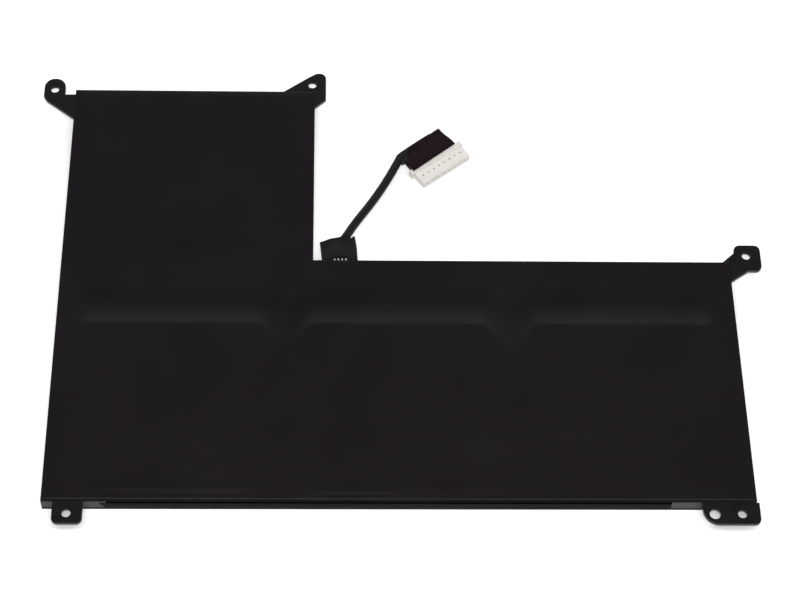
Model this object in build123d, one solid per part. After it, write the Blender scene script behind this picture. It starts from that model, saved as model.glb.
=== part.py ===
"""An L-shaped, film-wrapped laptop battery: four pouch cells, four mouldings, a board and a cable.

Millimetres, +Z up. It lies with its lug side up on its flat underside. The pack is drawn from its
own front left corner, and is moved at the end so that its origin is under the middle of the pack.
"""
import os
from math import cos, pi, radians, sin

from build123d import *

# Wrap film and moulded walls
film = 0.2
frame_wall = 1.6
lug_thickness = 1.6

# Pouch cells: three in the row and one in the limb
cells_in_row = 3
cell_width = 78.0
cell_length = 68.5
cell_thickness = 5.2
cell_edge_bevel = 2.0
cell_corner_round = 3.0
terrace_length = 4.0
terrace_inset = 3.0
terrace_thickness = 0.4
seal_fold_thickness = 0.3
seal_fold_height = 3.6
cell_gap = 1.6
cell_side_gap = 0.8
cell_front_gap = 0.2
limb_end_gap = 1.4
adhesive_thickness = 0.2
adhesive_width = 22.0
adhesive_length = 58.0
adhesive_spread = 39.0

# Cell tabs
tab_width = 8.0
tab_thickness = 0.2
tab_spread = 34.0
tab_span = 4.8
tab_weld_length = 4.0

# Protection board and what is soldered on it
board_depth = 14.0
board_thickness = 1.0
board_back_gap = 2.1
board_end_gap = 3.0
chip_size = 5.0
chip_height = 0.9
guard_size = 3.0
transistor_count = 4
transistor_width = 5.0
transistor_depth = 4.0
transistor_height = 1.0
transistor_pitch = 7.0
resistor_length = 6.4
resistor_width = 3.2
resistor_height = 0.8
fuse_length = 5.4
fuse_width = 3.4
fuse_height = 0.9
capacitor_count = 6
capacitor_length = 1.6
capacitor_width = 0.8
capacitor_pitch = 2.6
thermistor_diameter = 1.0
thermistor_length = 3.2
thermistor_bevel = 0.25
insulator_thickness = 0.15
insulator_margin = 2.0
part_row_gap = 2.0
lead_clearance = 0.65

# Board tray
tray_floor = 0.8
tray_margin = 1.5
tray_lip = 0.8
tray_rib = 1.2
tray_rib_count = 8
tray_fit = 0.3
limb_spacer_gap = 0.1
limb_spacer_width = 4.1
limb_spacer_height = 4.6

# Where one moulding ends and the next begins
front_return_left = 22.0
front_return_right = 29.0
back_return_right = 14.0

# Film relief: pads over the cells, and a trough over the row's tabs with a valley between cells
pad_rise = 0.3
pad_inset = 0.4
pad_slope_run = 3.0
pad_shoulder_run_share = 0.55
pad_shoulder_rise_share = 0.73
row_crest_set_back = 0.7
row_back_slope_run = 2.7
limb_crest_set_back = 1.9
trough_depth = 0.7
trough_floor_width = 1.0
trough_front_run = 6.3
trough_bend_run_share = 0.6
trough_bend_rise_share = 0.45
trough_back_run = 10.0
trough_end_inset = 8.0
trough_end_run = 6.0
valley_half_width = 9.0
valley_side_rise = 0.9
valley_length = 15.0
front_flap = 1.1
under_flap = 4.8

# Screw lugs: holes and plates
screw_hole = 3.1
locating_hole = 3.8
front_lug_reach = 8.0
front_lug_round = 2.0
front_hole_set = 4.2
front_left_lug_start = 4.0
front_left_lug_width = 10.3
front_left_hole_in = 4.9
front_right_lug_width = 19.5
front_right_lug_overhang = 0.8
front_right_lug_round = 5.5
front_right_hole_end = 6.2
front_right_hole_gap = 9.3
lug_rib_width = 3.8
lug_rib_rise = 0.5
lug_rib_length = 5.5
back_left_hole_out = 8.0
back_left_hole_back = 0.4
back_left_pad_radius = 4.0
back_left_pad_tip = 1.1
back_left_side_drop = 3.4
back_left_heel_in = 1.3
back_left_heel_drop = 5.4
back_left_arm_drop = 2.0
back_left_arm_depth = 11.4
back_mid_hole_in = 1.0
back_mid_hole_back = 3.5
back_mid_side_reach = 4.2
back_mid_tip_reach = 9.0
back_mid_tip_width = 3.6
back_mid_arm_width = 12.2
back_mid_shoulder_in = 3.4
back_mid_shoulder_drop = 2.2
back_mid_heel = 3.2
back_mid_arm_drop = 7.1
back_mid_round = 2.4
rear_right_hole_out = 6.5
rear_right_hole_back = 3.0
rear_right_pad_width = 9.6
rear_right_pad_depth = 11.0
rear_right_pad_out = 0.5
rear_right_pad_front = 0.9
rear_right_pad_round = 2.2
rear_right_arm_width = 2.6
rear_right_arm_drop = 8.1
trim_margin = 1.0
trim_back_left = 22.3

# Wires, tapes, cable and connector
wire_count = 8
wire_diameter = 0.95
wire_pitch = 1.5
wire_pad_length = 2.5
exit_from_limb = 9.6
wire_show = 1.8
tape_thickness = 1.7
tape_width = 13.0
tape_length = 9.2
tape_skew = 3.0
tape_shift = 0.8
tape_drop = 2.2
gather_width = 7.0
gather_start = 1.0
gather_sides = 8
cable_diameter = 3.1
cable_lift = 0.05
tail_tape_thickness = 2.6
tail_tape_depth = 9.6
tail_tape_length = 20.4
tail_tape_neck = 4.4
contact_count = 8
contact_pitch = 2.5
contact_width = 1.3
contact_height = 1.1
contact_wall = 0.12
contact_length = 5.6
cavity_clearance = 0.1
housing_end_wall = 1.6
housing_floor = 1.1
housing_roof = 0.9
housing_body_depth = 5.6
flange_depth = 2.2
flange_overhang = 0.9
flange_rise = 0.6
window_depth = 0.8
window_width = 0.8
connector_turn = 37.0
bend_share = 0.45

# The connector's rear edge and the cable's route, from the place where the wires enter the root tape
connector_place = (35.4, 46.8)
cable_route = [
    (2.4, 11.1, 1.75),
    (5.6, 16.9, 1.60),
    (12.3, 26.8, 1.60),
    (17.6, 36.2, 1.60),
    (22.2, 45.8, 1.60),
]

# How far a cutter passes the face that it opens
cut_over = 1.0

# Worked out from the values above
skin = film + frame_wall
cell_floor = film + adhesive_thickness
base_height = cell_floor + cell_thickness + film - pad_rise
terrace_level = (cell_thickness + terrace_thickness) / 2
frame_top = base_height - film
lug_floor = frame_top - lug_thickness
cell_pitch = cell_width + cell_gap
pack_width = cells_in_row * cell_width + (cells_in_row - 1) * cell_gap + 2 * (cell_side_gap + skin)
cell_front = film + skin + cell_front_gap
row_cell_end = cell_front + cell_length + terrace_length
row_pad_back = cell_front + cell_length - row_crest_set_back + row_back_slope_run
trough_front = row_pad_back + trough_front_run
board_front = row_cell_end + tab_span
board_back = board_front + board_depth
row_depth = board_back + board_back_gap + skin
limb_cell_front = board_back + tab_span
limb_side = seal_fold_thickness + limb_spacer_width + 2 * limb_spacer_gap + skin
limb_width = cell_width + 2 * limb_side
pack_depth = limb_cell_front + terrace_length + cell_length + limb_end_gap + skin
board_top = cell_floor + terrace_level
board_floor = board_top - board_thickness
tab_length = tab_span + tab_weld_length
exit_x = limb_width + exit_from_limb
tape_front = row_depth + wire_show
half_leads = ((wire_count - 1) * wire_pitch + wire_diameter) / 2
connector_rear = (exit_x + connector_place[0], tape_front + connector_place[1])
wire_level = board_top + wire_diameter / 2
part_top = board_top + tab_thickness + fuse_height

# Screw hole centres
front_hole_y = film - front_hole_set
front_left_hole = (front_left_lug_start + front_left_hole_in, front_hole_y)
front_small_hole = (pack_width + front_right_lug_overhang - front_right_hole_end, front_hole_y)
front_large_hole = (front_small_hole[0] - front_right_hole_gap, front_hole_y)
back_left_hole = (-back_left_hole_out, pack_depth + back_left_hole_back)
back_mid_hole = (limb_width - back_mid_hole_in, pack_depth + back_mid_hole_back)
rear_right_hole = (pack_width + rear_right_hole_out, row_depth + rear_right_hole_back)

# The pack's reach, lugs included, whose middle is the origin
reach_left = back_left_hole[0] - back_left_pad_radius
reach_right = rear_right_hole[0] + rear_right_pad_out + rear_right_pad_width / 2
reach_front = film - front_lug_reach
reach_back = pack_depth + back_mid_tip_reach
to_origin = Location((-(reach_left + reach_right) / 2, -(reach_front + reach_back) / 2, 0))

parts = {}


def block(x0, x1, y0, y1, z0, z1):
    """A box between two corners."""
    return Pos(x0, y0, z0) * Box(x1 - x0, y1 - y0, z1 - z0, align=(Align.MIN, Align.MIN, Align.MIN))


def plate(points, z0, z1):
    """A flat plate with the outline of the given points."""
    return Pos(0, 0, z0) * extrude(make_face(Polyline(*points, close=True)), z1 - z0)


def drill(hole, diameter):
    """A cutter for an upright hole through a lug."""
    return Pos(hole[0], hole[1], 0) * Cylinder(diameter / 2, 2 * (frame_top + cut_over))


def group(solids):
    """Alike separate solids that share one node."""
    return Compound(children=list(solids))


def pack_outline(inset):
    """Corners of the L, drawn in from the film's outer face."""
    right = pack_width - inset
    corner_x = limb_width - inset
    corner_y = row_depth - inset
    back = pack_depth - inset
    row = [(inset, inset), (right, inset), (right, corner_y)]
    limb = [(corner_x, corner_y), (corner_x, back), (inset, back)]
    return row + limb


def cell_start(index):
    """Left side of a cell in the row."""
    return skin + cell_side_gap + index * cell_pitch


def pouch_cell():
    """One sealed cell with its front left lower corner at the origin and its terrace at the back."""
    body = block(0, cell_width, 0, cell_length, 0, cell_thickness)
    body = fillet(body.edges().filter_by(Axis.Z), cell_corner_round)
    rims = body.faces().sort_by(Axis.Z)
    body = chamfer(rims[0].edges() + rims[-1].edges(), cell_edge_bevel)
    terrace = block(terrace_inset, cell_width - terrace_inset, cell_length - cell_edge_bevel,
                    cell_length + terrace_length, terrace_level, terrace_level + terrace_thickness)
    fold_floor = (cell_thickness - seal_fold_height) / 2
    folds = [block(x, x + seal_fold_thickness, cell_corner_round, cell_length - cell_corner_round,
                   fold_floor, fold_floor + seal_fold_height)
             for x in (-seal_fold_thickness, cell_width)]
    return body + terrace + folds[0] + folds[1]


def in_row(shape, index):
    """A shape drawn for the cell's own corner, moved to its place in the row."""
    return Pos(cell_start(index), cell_front, cell_floor) * shape


def in_limb(shape):
    """The same for the limb, where the cell is turned so that its terrace faces the board."""
    corner_x = limb_side + cell_width
    corner_y = limb_cell_front + terrace_length + cell_length
    return Pos(corner_x, corner_y, cell_floor) * Rot(0, 0, 180) * shape


def make_cells():
    """The four cells, their tabs and the adhesive under them."""
    for index, name in enumerate(("cell_row_left", "cell_row_middle", "cell_row_right")):
        parts[name] = in_row(pouch_cell(), index)
    parts["cell_limb"] = in_limb(pouch_cell())

    tab_start = cell_length + terrace_length
    for name, side in (("positive_tabs", -1), ("negative_tabs", 1)):
        middle = (cell_width + side * tab_spread) / 2
        tab = block(middle - tab_width / 2, middle + tab_width / 2, tab_start, tab_start + tab_length,
                    terrace_level, terrace_level + tab_thickness)
        parts[name] = group([in_row(tab, index) for index in range(cells_in_row)] + [in_limb(tab)])

    strips = []
    for side in (-1, 1):
        middle = (cell_width + side * adhesive_spread) / 2
        strip_front = (cell_length - adhesive_length) / 2
        strip = block(middle - adhesive_width / 2, middle + adhesive_width / 2,
                      strip_front, strip_front + adhesive_length, -adhesive_thickness, 0)
        strips += [in_row(strip, index) for index in range(cells_in_row)] + [in_limb(strip)]
    parts["adhesive_strips"] = group(strips)

    spacer_front = limb_cell_front + terrace_length
    spacers = []
    for x in (skin + limb_spacer_gap, limb_width - skin - limb_spacer_gap - limb_spacer_width):
        spacers.append(block(x, x + limb_spacer_width, spacer_front, spacer_front + cell_length,
                             film, film + limb_spacer_height))
    parts["limb_spacers"] = group(spacers)


def wall_band():
    """The upright wall that follows the L, just inside the film."""
    outer = plate(pack_outline(film), film, frame_top)
    inner = plate(pack_outline(skin), 0, base_height)
    return outer - inner


def lug(points):
    """A lug plate, level with the top of the mouldings."""
    return plate(points, lug_floor, frame_top)


def front_left_lug():
    """Square lug in front of the left corner."""
    right = front_left_lug_start + front_left_lug_width
    shape = block(front_left_lug_start, right, reach_front, skin, lug_floor, frame_top)
    tips = shape.edges().filter_by(Axis.Z).sort_by(Axis.Y)[:2]
    return fillet(tips, front_lug_round)


def front_right_lug():
    """Wide lug in front of the right corner, with a ramped rib between its two holes."""
    right = pack_width + front_right_lug_overhang
    left = right - front_right_lug_width
    shape = block(left, right, reach_front, film, lug_floor, frame_top)
    shape += block(left, pack_width - film, film, skin, lug_floor, frame_top)
    tips = shape.edges().filter_by(Axis.Z).group_by(Axis.Y)[0].sort_by(Axis.X)
    shape = fillet(tips[0], front_right_lug_round)
    tips = shape.edges().filter_by(Axis.Z).group_by(Axis.Y)[0].sort_by(Axis.X)
    shape = fillet(tips[-1], front_lug_round)
    rib_x = (front_large_hole[0] + front_small_hole[0]) / 2
    heel = (0, frame_top)
    toe = (-lug_rib_length, frame_top)
    crest = (0, frame_top + lug_rib_rise)
    ramp_face = Plane.YZ * make_face(Polyline(heel, toe, crest, close=True))
    return shape + Pos(rib_x - lug_rib_width / 2, 0, 0) * extrude(ramp_face, lug_rib_width)


def back_left_lug():
    """Round-ended lug on a tapering arm, beside the back left corner."""
    x, y = back_left_hole
    radius = back_left_pad_radius
    arm_top = pack_depth - back_left_arm_drop
    arm_foot = arm_top - back_left_arm_depth
    pad_y = y + back_left_pad_tip
    pad = Pos(x, pad_y, (lug_floor + frame_top) / 2) * Cylinder(radius, lug_thickness)
    inner = [(x + radius, pad_y), (x + radius, arm_top), (film, arm_top), (film, arm_foot)]
    heel = (x - radius + back_left_heel_in, y - back_left_heel_drop)
    outer = [heel, (x - radius, y - back_left_side_drop), (x - radius, pad_y)]
    arm = lug(inner + outer)
    root = block(film, skin, arm_foot, arm_top, lug_floor, frame_top)
    return pad + arm + root


def back_mid_lug():
    """Lug on the limb's back right corner, with a sloping shoulder each side."""
    right = limb_width + back_mid_side_reach
    tip = pack_depth + back_mid_tip_reach
    edge = limb_width - film
    back = pack_depth - film
    tip_left = right - back_mid_tip_width
    arm_left = edge - back_mid_arm_width
    arm_foot = back - back_mid_arm_drop
    shoulder = (tip_left - back_mid_shoulder_in, tip - back_mid_shoulder_drop)
    wall_in = edge - frame_wall
    upper = [(arm_left, back), shoulder, (tip_left, tip), (right, tip)]
    lower = [(right, back - back_mid_heel), (edge, arm_foot)]
    inner = [(wall_in, arm_foot), (wall_in, back - frame_wall), (arm_left, back - frame_wall)]
    shape = lug(upper + lower + inner)
    tips = shape.edges().filter_by(Axis.Z).group_by(Axis.Y)[-1]
    return fillet(tips, back_mid_round)


def rear_right_lug():
    """Rounded square lug on a slanting arm, beside the row's back right corner."""
    x = rear_right_hole[0] + rear_right_pad_out
    y = rear_right_hole[1] - rear_right_pad_front
    edge = pack_width - film
    back = row_depth - film
    pad = Box(rear_right_pad_width, rear_right_pad_depth, lug_thickness)
    pad = fillet(pad.edges().filter_by(Axis.Z), rear_right_pad_round)
    pad = Pos(x, y, (lug_floor + frame_top) / 2) * pad
    pad_left = x - rear_right_pad_width / 2
    pad_front = y - rear_right_pad_depth / 2
    arm_left = edge - rear_right_arm_width
    arm_foot = back - rear_right_arm_drop
    wall_in = edge - frame_wall
    upper = [(arm_left, back), (pad_left, y + rear_right_pad_round), (pad_left + rear_right_pad_round, y)]
    lower = [(x, pad_front + rear_right_pad_round), (x - film, pad_front), (edge, arm_foot)]
    inner = [(wall_in, arm_foot), (wall_in, back - frame_wall), (arm_left, back - frame_wall)]
    return pad + lug(upper + lower + inner)


def make_frames():
    """The mouldings: one round the limb, one round the right end, and the strip along the front."""
    band = wall_band()
    corner_y = row_depth - film
    front_wall_back = film + skin

    left = band & block(0, limb_width, corner_y, pack_depth, 0, base_height)
    left += band & block(0, skin, 0, corner_y, 0, base_height)
    left += block(film, front_return_left, film, skin, film, frame_top)
    left += front_left_lug() + back_left_lug() + back_mid_lug()
    for hole in (front_left_hole, back_left_hole, back_mid_hole):
        left -= drill(hole, screw_hole)
    parts["left_frame"] = left

    right = band & block(pack_width - skin, pack_width, 0, row_depth, 0, base_height)
    right += block(pack_width - front_return_right, pack_width - film, film, skin, film, frame_top)
    back_return = pack_width - back_return_right
    right += band & block(back_return, pack_width, row_depth - skin, row_depth, 0, base_height)
    right += front_right_lug() + rear_right_lug()
    right -= drill(front_small_hole, screw_hole)
    right -= drill(rear_right_hole, screw_hole)
    right -= drill(front_large_hole, locating_hole)
    parts["right_frame"] = right

    rail_end = pack_width - front_return_right
    parts["front_rail"] = block(front_return_left, rail_end, 2 * film, front_wall_back, film, frame_top)


def make_tray():
    """The board's tray: floor, lip, ribs and the back wall with the wires' way out."""
    left = skin + tray_fit
    right = pack_width - skin - tray_fit
    floor_front = board_front - tray_margin
    wall_front = row_depth - skin
    floor_top = film + tray_floor
    tray = block(left, right, floor_front, wall_front, film, floor_top)
    tray += block(left, right, floor_front, floor_front + tray_lip, film, board_floor)
    wall_end = pack_width - back_return_right
    tray += block(limb_width - skin, wall_end, wall_front, row_depth - film, film, frame_top)
    rib_span = right - left - 2 * board_end_gap - tray_rib
    for index in range(tray_rib_count):
        x = left + board_end_gap + index * rib_span / (tray_rib_count - 1)
        tray += block(x, x + tray_rib, floor_front, wall_front - board_back_gap, film, board_floor)
    half_gap = half_leads + wire_diameter / 2
    gap_front = wall_front - cut_over
    tray -= block(exit_x - half_gap, exit_x + half_gap, gap_front, row_depth, board_top, base_height)
    parts["board_tray"] = tray


def on_board(x, y, length, width, height):
    """A soldered part, by its middle on the board."""
    return block(x - length / 2, x + length / 2, y - width / 2, y + width / 2, board_top, board_top + height)


def make_board():
    """The protection board with its parts, in a line between the cells' tabs."""
    left = skin + tray_fit + board_end_gap
    right = pack_width - left
    middle = (board_front + board_back) / 2
    parts["protection_board"] = block(left, right, board_front, board_back, board_floor, board_top)

    half_bank = ((capacitor_count - 1) * capacitor_pitch + capacitor_length) / 2
    chip_x = exit_x + half_leads + lead_clearance + half_bank
    parts["gauge_chip"] = on_board(chip_x, middle, chip_size, chip_size, chip_height)
    guard_x = chip_x - (chip_size + guard_size) / 2 - part_row_gap
    parts["guard_chip"] = on_board(guard_x, middle, guard_size, guard_size, chip_height)
    capacitor_y = middle + chip_size / 2 + part_row_gap
    parts["capacitors"] = group(
        on_board(chip_x + (index - (capacitor_count - 1) / 2) * capacitor_pitch, capacitor_y,
                 capacitor_length, capacitor_width, chip_height)
        for index in range(capacitor_count))

    resistor_x = chip_x + (chip_size + resistor_length) / 2 + part_row_gap
    parts["sense_resistor"] = on_board(resistor_x, middle, resistor_length, resistor_width, resistor_height)
    fuse_x = resistor_x + (resistor_length + fuse_length) / 2 + part_row_gap
    parts["fuse"] = on_board(fuse_x, middle, fuse_length, fuse_width, tab_thickness + fuse_height)
    first_x = fuse_x + fuse_length / 2 + part_row_gap + transistor_width / 2
    transistor = on_board(first_x, middle, transistor_width, transistor_depth, transistor_height)
    parts["power_transistors"] = group(
        Pos(index * transistor_pitch, 0, 0) * transistor for index in range(transistor_count))

    bead_level = board_top + thermistor_diameter / 2
    bead_x = cell_start(1) + cell_width / 2
    bead = Rot(0, 90, 0) * Cylinder(thermistor_diameter / 2, thermistor_length)
    bead = Pos(bead_x, board_front + thermistor_diameter, bead_level) * bead
    parts["thermistor"] = chamfer(bead.edges().filter_by(GeomType.CIRCLE), thermistor_bevel)

    last_x = first_x + (transistor_count - 1) * transistor_pitch
    cover_left = guard_x - guard_size / 2 - insulator_margin
    cover_right = last_x + transistor_width / 2 + insulator_margin
    cover_front = middle - transistor_depth / 2
    parts["board_insulator"] = block(cover_left, cover_right, cover_front, board_back - insulator_margin,
                                     part_top, part_top + insulator_thickness)


def level_field(left, right, front, back, height):
    """A level rectangle, one layer of a shape that is lofted upwards."""
    outline = Polyline((left, front), (right, front), (right, back), (left, back), close=True)
    return Pos(0, 0, height) * make_face(outline)


def relief_pad(left, right, front, back, back_run):
    """A raised field of film over cells, with sloping sides that ease off towards the top."""
    layers = []
    shares = [(0, 0), (pad_shoulder_run_share, pad_shoulder_rise_share), (1, 1)]
    for run, rise in shares:
        inset = run * pad_slope_run
        layers.append(level_field(left + inset, right - inset, front + inset, back - run * back_run,
                                  base_height + rise * pad_rise))
    return loft(layers, ruled=True)


def relief_pads():
    """The raised film over the row's cells and over the limb's cell."""
    row = relief_pad(pad_inset, pack_width - pad_inset, pad_inset, row_pad_back, row_back_slope_run)
    limb_front = limb_cell_front + terrace_length + limb_crest_set_back - pad_slope_run
    limb = relief_pad(pad_inset, limb_width - pad_inset, limb_front, pack_depth - pad_inset, pad_slope_run)
    return row + limb


def tab_trough():
    """The hollow that the film sinks into over the row's tabs, steeper where it meets the row's pad."""
    left = trough_end_inset + trough_end_run
    right = pack_width - left
    back = trough_front + trough_floor_width
    layers = []
    shares = [(0, 0), (trough_bend_run_share, trough_bend_rise_share), (1, 1)]
    for run, rise in shares:
        end = rise * trough_end_run
        layers.append(level_field(left - end, right + end, trough_front - run * trough_front_run,
                                  back + rise * trough_back_run, base_height - (1 - rise) * trough_depth))
    return loft(layers, ruled=True)


def cell_valleys():
    """Cutters for the valleys that run from the trough up between neighbouring cells."""
    rise = trough_depth + pad_rise
    rim = valley_side_rise + rise + cut_over
    right_side = [(valley_half_width, valley_side_rise), (valley_half_width, rim)]
    left_side = [(-valley_half_width, rim), (-valley_half_width, valley_side_rise)]
    vee = Plane.XZ * make_face(Polyline((0, 0), *right_side, *left_side, close=True))
    cutters = []
    for index in range(1, cells_in_row):
        x = cell_start(index) - cell_gap / 2
        section = Pos(x, trough_front, base_height - trough_depth) * vee
        cutters.append(extrude(section, valley_length + cut_over, dir=(0, -valley_length, rise)))
    return cutters


def draped(slab, drop):
    """A slab shaped like the film's outer face, with that shape lowered by the given drop."""
    lowered = Pos(0, 0, -drop)
    shape = slab - lowered * tab_trough() + lowered * relief_pads()
    for valley in cell_valleys():
        shape -= lowered * valley
    return shape


def skirt_trims():
    """Places where the film's skirt is cut away round the lugs, as blocks a film thick."""
    top = frame_top
    left_corner = pack_depth - trim_back_left
    mid_start = limb_width - film - back_mid_arm_width - trim_margin
    mid_drop = pack_depth - back_mid_arm_drop - trim_margin - film
    right_drop = row_depth - rear_right_arm_drop - trim_margin - film
    return [
        block(0, film, left_corner, pack_depth, 0, top),
        block(0, trim_margin, pack_depth - film, pack_depth, 0, top),
        block(mid_start, limb_width, pack_depth - film, pack_depth, 0, top),
        block(limb_width - film, limb_width, mid_drop, pack_depth, 0, top),
        block(pack_width - film, pack_width, right_drop, row_depth, 0, top),
        block(pack_width - back_return_right, pack_width, row_depth - film, row_depth, 0, top),
        block(0, front_return_left, 0, film, 0, top),
        block(pack_width - front_return_right, pack_width, 0, film, 0, top),
        block(0, pack_width, 0, film, 0, base_height - front_flap),
        block(exit_x - tape_width / 2, exit_x + tape_width / 2, row_depth - film, row_depth, 0, top),
    ]


def make_films():
    """The two wrap films: one draped over the top with skirts, one flat with a flap up the front."""
    outer = draped(plate(pack_outline(0), film, base_height), 0)
    inner = draped(plate(pack_outline(film), 0, frame_top), film)
    upper = outer - inner
    for trim in skirt_trims():
        upper -= trim
    parts["top_film"] = upper

    lower = plate(pack_outline(0), 0, film)
    lower += block(front_return_left, pack_width - front_return_right, film, 2 * film, 0, under_flap)
    parts["bottom_film"] = lower


def make_leads():
    """The eight wires from the board out through the tray."""
    start = board_back - wire_pad_length
    length = row_depth + wire_show - start
    wires = []
    for index in range(wire_count):
        x = exit_x + (index - (wire_count - 1) / 2) * wire_pitch
        wire = Rot(90, 0, 0) * Cylinder(wire_diameter / 2, length)
        wires.append(Pos(x, start + length / 2, wire_level) * wire)
    parts["board_leads"] = group(wires)


def route_line():
    """The cable's middle line: straight runs joined by arcs as large as the runs allow."""
    points = [Vector(exit_x + x, tape_front + y, z) for x, y, z in cable_route]
    runs = [after - before for before, after in zip(points, points[1:])]
    radii = []
    for before, after in zip(runs, runs[1:]):
        half_turn = radians(before.get_angle(after)) / 2
        radii.append(bend_share * min(before.length, after.length) * cos(half_turn) / sin(half_turn))
    print("cable radii", [round(radius, 1) for radius in radii])
    return FilletPolyline(*points, radius=radii)


def make_cable(line):
    """The taped cable along its middle line."""
    section = Plane(line @ 0, z_dir=line % 0) * Circle(cable_diameter / 2)
    tube = sweep(section, path=line)
    expected = pi * cable_diameter ** 2 / 4 * line.length
    print("cable length", round(line.length, 2), "volume share", round(tube.volume / expected, 4))
    parts["cable"] = tube


def bundle_section(width, thickness):
    """A taped bundle's section: an even many-sided outline of the given width and thickness."""
    turns = [2 * pi * index / gather_sides for index in range(gather_sides)]
    corners = [(width / 2 * cos(turn), thickness / 2 * sin(turn)) for turn in turns]
    return make_face(Polyline(*corners, close=True))


def make_root_tape(line):
    """The tape folded over the wires, and the bundle that runs from under it into the cable."""
    slant = tape_skew / tape_width
    wide = Plane(origin=(exit_x, tape_front, wire_level), x_dir=(1, 0, 0), z_dir=(0, 1, 0))
    tape_end = (exit_x - tape_shift, tape_front + tape_length, wire_level - tape_drop)
    far = Plane(origin=tape_end, x_dir=(1, slant, 0), z_dir=(-slant, 1, 0))
    strip = Rectangle(tape_width, tape_thickness)
    sheet = loft([wide * strip, far * strip], ruled=True)

    near = Plane(origin=(exit_x, tape_front + gather_start, wire_level), x_dir=(1, 0, 0), z_dir=(0, 1, 0))
    start = Plane(line @ 0, x_dir=(1, 0, 0), z_dir=line % 0)
    round_width = cable_diameter + 2 * film
    bundle = loft([near * bundle_section(gather_width, tape_thickness),
                   start * bundle_section(round_width, round_width)], ruled=True)
    parts["root_tape"] = sheet + bundle


def on_connector(shape):
    """A shape drawn for the connector's own axes: X along it, -Y towards its mating face."""
    return Pos(connector_rear[0], connector_rear[1], 0) * Rot(0, 0, connector_turn) * shape


def make_tail_tape(line):
    """The tape that holds the wires where they turn and spread to the connector."""
    end = line @ 1
    along = line % 1
    across = Vector(along.Y, -along.X, 0) * (tail_tape_neck / 2)
    turn = radians(connector_turn)
    side = Vector(cos(turn), sin(turn), 0)
    back = Vector(-sin(turn), cos(turn), 0)
    rear = Vector(connector_rear[0], connector_rear[1], 0)
    near = rear - side * (tail_tape_length / 2)
    far = rear + side * (tail_tape_length / 2)
    corners = [near, far, far + back * tail_tape_depth, near + back * tail_tape_depth,
               end - across, end + across]
    floor = cable_lift
    outline = [(corner.X, corner.Y) for corner in corners]
    parts["tail_tape"] = plate(outline, floor, floor + tail_tape_thickness)


def make_connector():
    """The eight-way housing with its open cavities, and the contacts in them."""
    body_length = contact_count * contact_pitch + 2 * housing_end_wall - (contact_pitch - contact_width)
    cavity_height = contact_height + cavity_clearance
    height = housing_floor + cavity_height + housing_roof
    body_front = -flange_depth - housing_body_depth
    housing = block(-body_length / 2, body_length / 2, body_front, 0, 0, height)
    flange_half = body_length / 2 + flange_overhang
    housing += block(-flange_half, flange_half, -flange_depth, 0, 0, height + flange_rise)
    contacts = []
    for index in range(contact_count):
        x = (index - (contact_count - 1) / 2) * contact_pitch
        half = contact_width / 2
        housing -= block(x - half - cavity_clearance, x + half + cavity_clearance, body_front - cut_over,
                         body_front + contact_length + cavity_clearance, housing_floor,
                         housing_floor + cavity_height)
        window_front = body_front + housing_body_depth / 2
        housing -= block(x - window_width / 2, x + window_width / 2, window_front, window_front + window_depth,
                         housing_floor + cavity_height - film, height + cut_over)
        sleeve = block(x - half, x + half, body_front + cavity_clearance, body_front + contact_length,
                       housing_floor, housing_floor + contact_height)
        sleeve -= block(x - half + contact_wall, x + half - contact_wall, body_front - cut_over,
                        body_front + contact_length - contact_wall, housing_floor + contact_wall,
                        housing_floor + contact_height - contact_wall)
        contacts.append(on_connector(sleeve))
    parts["connector_housing"] = on_connector(housing)
    parts["connector_contacts"] = group(contacts)


make_cells()
make_frames()
make_tray()
make_board()
make_films()
make_leads()
cable_line = route_line()
make_cable(cable_line)
make_root_tape(cable_line)
make_tail_tape(cable_line)
make_connector()

os.makedirs("parts", exist_ok=True)
for name, shape in parts.items():
    export_step(to_origin * shape, f"parts/{name}.step")
print("pack", round(pack_width, 2), "by", round(pack_depth, 2))
print("row depth", round(row_depth, 2), "limb width", round(limb_width, 2))
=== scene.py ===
"""Dresses an L-shaped laptop battery: draped wrap film, moulded lugs, taped cable and connector.

Lengths in the classes are millimetres from the pack's front left lower corner, u to the right,
v to the back and z up. Meshes and lights are in metres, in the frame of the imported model.
"""
import logging
import math
from dataclasses import dataclass, field
from enum import Enum
from typing import Callable

import bpy
import numpy as np
from mathutils import Matrix, Vector, noise


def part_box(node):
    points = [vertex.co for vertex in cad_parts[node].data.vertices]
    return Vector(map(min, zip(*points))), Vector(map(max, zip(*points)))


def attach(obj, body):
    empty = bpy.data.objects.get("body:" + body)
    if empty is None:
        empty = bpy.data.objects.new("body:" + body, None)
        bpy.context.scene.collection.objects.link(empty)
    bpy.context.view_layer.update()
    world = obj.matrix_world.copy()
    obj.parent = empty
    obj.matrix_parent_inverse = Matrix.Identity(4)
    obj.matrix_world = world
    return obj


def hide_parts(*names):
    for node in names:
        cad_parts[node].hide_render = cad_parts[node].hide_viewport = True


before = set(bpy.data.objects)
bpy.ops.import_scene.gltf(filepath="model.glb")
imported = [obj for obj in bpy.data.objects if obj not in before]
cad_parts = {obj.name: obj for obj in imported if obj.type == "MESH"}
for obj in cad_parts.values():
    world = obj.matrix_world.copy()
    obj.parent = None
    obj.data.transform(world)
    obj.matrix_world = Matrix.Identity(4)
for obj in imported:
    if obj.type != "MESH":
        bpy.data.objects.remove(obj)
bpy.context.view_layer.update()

MM = 0.001
BODY = "root"
log = logging.getLogger("laptop_battery")

Colour = tuple[float, float, float]
Span = tuple[float, float]
Spot = tuple[float, float]
Place = tuple[float, float, float]

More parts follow.
